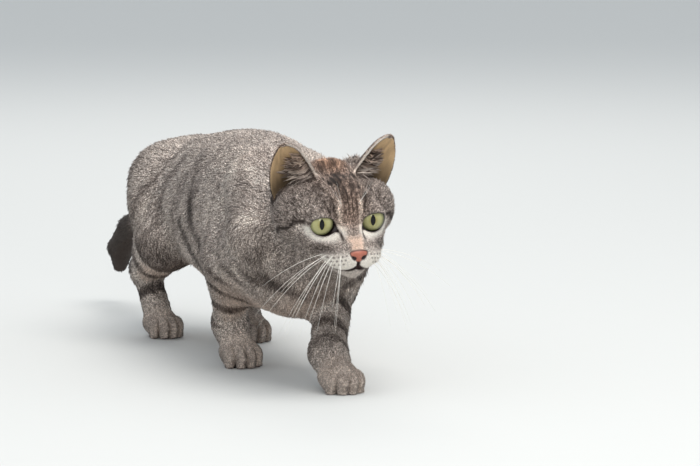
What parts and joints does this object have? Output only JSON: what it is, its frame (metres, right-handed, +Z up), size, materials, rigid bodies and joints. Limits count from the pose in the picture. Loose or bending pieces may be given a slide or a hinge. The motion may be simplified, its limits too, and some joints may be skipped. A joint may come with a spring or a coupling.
{
  "type": "cat",
  "caption": "Still, life-size model of a grey tabby cat in a low, slow walk, head forward and tail trailing, resting on its paws.",
  "frame": {"origin": "on the floor, under the middle of the whole cat's box", "axes": "+Z up, the cat walks towards -Y, +X is its left side"},
  "size_m": [0.148, 0.6178, 0.2086],
  "materials": {
    "coat": "short dense grey tabby fur, ticked and faintly barred, with pale muzzle and chest and a dark tail tip",
    "ear": "short grey-brown fur outside, thin tan skin and long pale hairs inside",
    "eye": "clear wet eye with a yellow-green iris and an upright slit pupil"
  },
  "bodies": {
    "root": {"head": "coat", "eye_left": "eye", "ear_left": "ear", "eye_right": "eye", "ear_right": "ear", "neck": "coat", "chest": "coat", "abdomen": "coat", "rump": "coat", "tail_1": "coat", "tail_2": "coat", "tail_3": "coat", "tail_4": "coat", "foreleg_left": "coat", "forepaw_left": "coat", "foreleg_right": "coat", "forepaw_right": "coat", "hindleg_left": "coat", "hindpaw_left": "coat", "hindleg_right": "coat", "hindpaw_right": "coat"}
  },
  "joints": []
}
